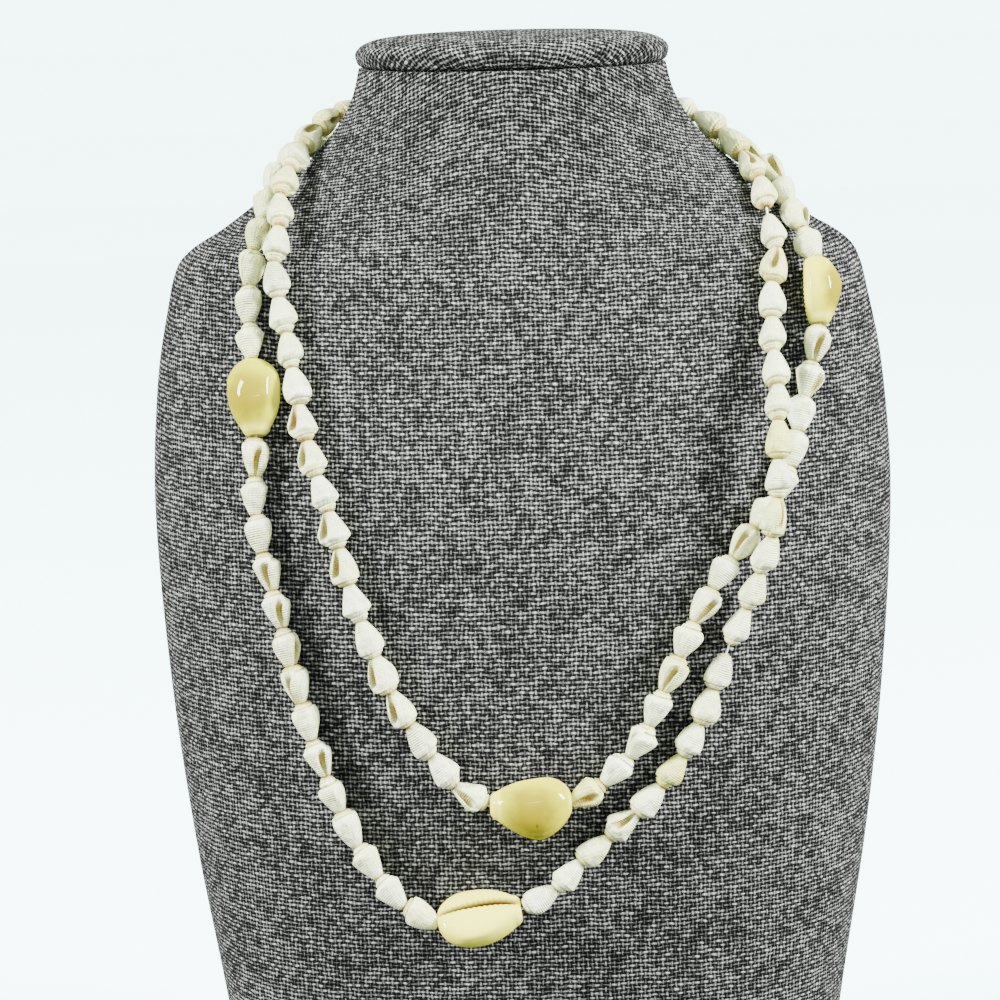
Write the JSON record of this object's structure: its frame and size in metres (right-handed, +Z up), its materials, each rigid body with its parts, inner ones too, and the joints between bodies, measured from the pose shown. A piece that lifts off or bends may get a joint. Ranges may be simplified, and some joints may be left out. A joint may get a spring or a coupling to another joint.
{
  "type": "shell necklace on neck bust",
  "caption": "Two-strand necklace of small drilled shells and cowries on one barrel clasp, laid round a linen covered neck bust with a padded cap.",
  "frame": {"origin": "on the flat foot of the bust, under the middle of the neck", "axes": "+Z up, -Y out of the chest, +X to the viewer's right when the chest is faced"},
  "size_m": [0.222, 0.131, 0.34],
  "materials": {
    "linen": "plain weave of near black and light grey linen threads, matt",
    "small_shell": "natural white to cream shell, satin",
    "cowrie": "natural yellow cowrie shell, glossy",
    "thread": "white beading thread",
    "clasp_metal": "plain satin brass"
  },
  "bodies": {
    "root": {"bust": "linen", "bust_cap": "linen", "outer_shells": "small_shell", "inner_shells": "small_shell", "cowrie_left": "cowrie", "cowrie_low": "cowrie", "cowrie_centre": "cowrie", "cowrie_right": "cowrie", "outer_thread": "thread", "inner_thread": "thread", "clasp": "clasp_metal"}
  },
  "joints": []
}
